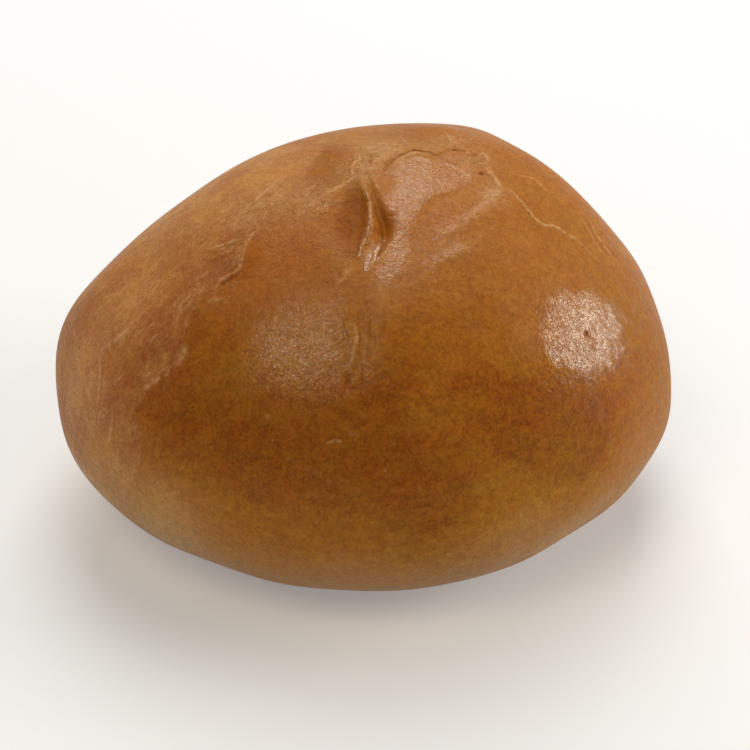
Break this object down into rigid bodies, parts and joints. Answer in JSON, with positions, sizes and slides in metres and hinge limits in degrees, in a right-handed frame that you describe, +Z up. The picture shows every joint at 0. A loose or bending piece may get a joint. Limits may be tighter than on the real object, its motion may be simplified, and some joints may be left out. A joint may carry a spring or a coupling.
{
  "type": "baked bun",
  "caption": "Whole baked bun with a glossy brown crust: a lopsided dome with a pinched crease near its top, resting on a flat foot.",
  "frame": {"origin": "centre of the bun's bounding box, on the plane of its flat foot", "axes": "+X along the bun's long way, towards its fuller end; +Y towards its back, away from the pinched crease's lower end; +Z up, from the foot to the crown"},
  "size_m": [0.0988, 0.0878, 0.0592],
  "materials": {
    "crust": "egg-washed brown bread crust, satin gloss"
  },
  "bodies": {
    "root": {"bun": "crust"}
  },
  "joints": []
}
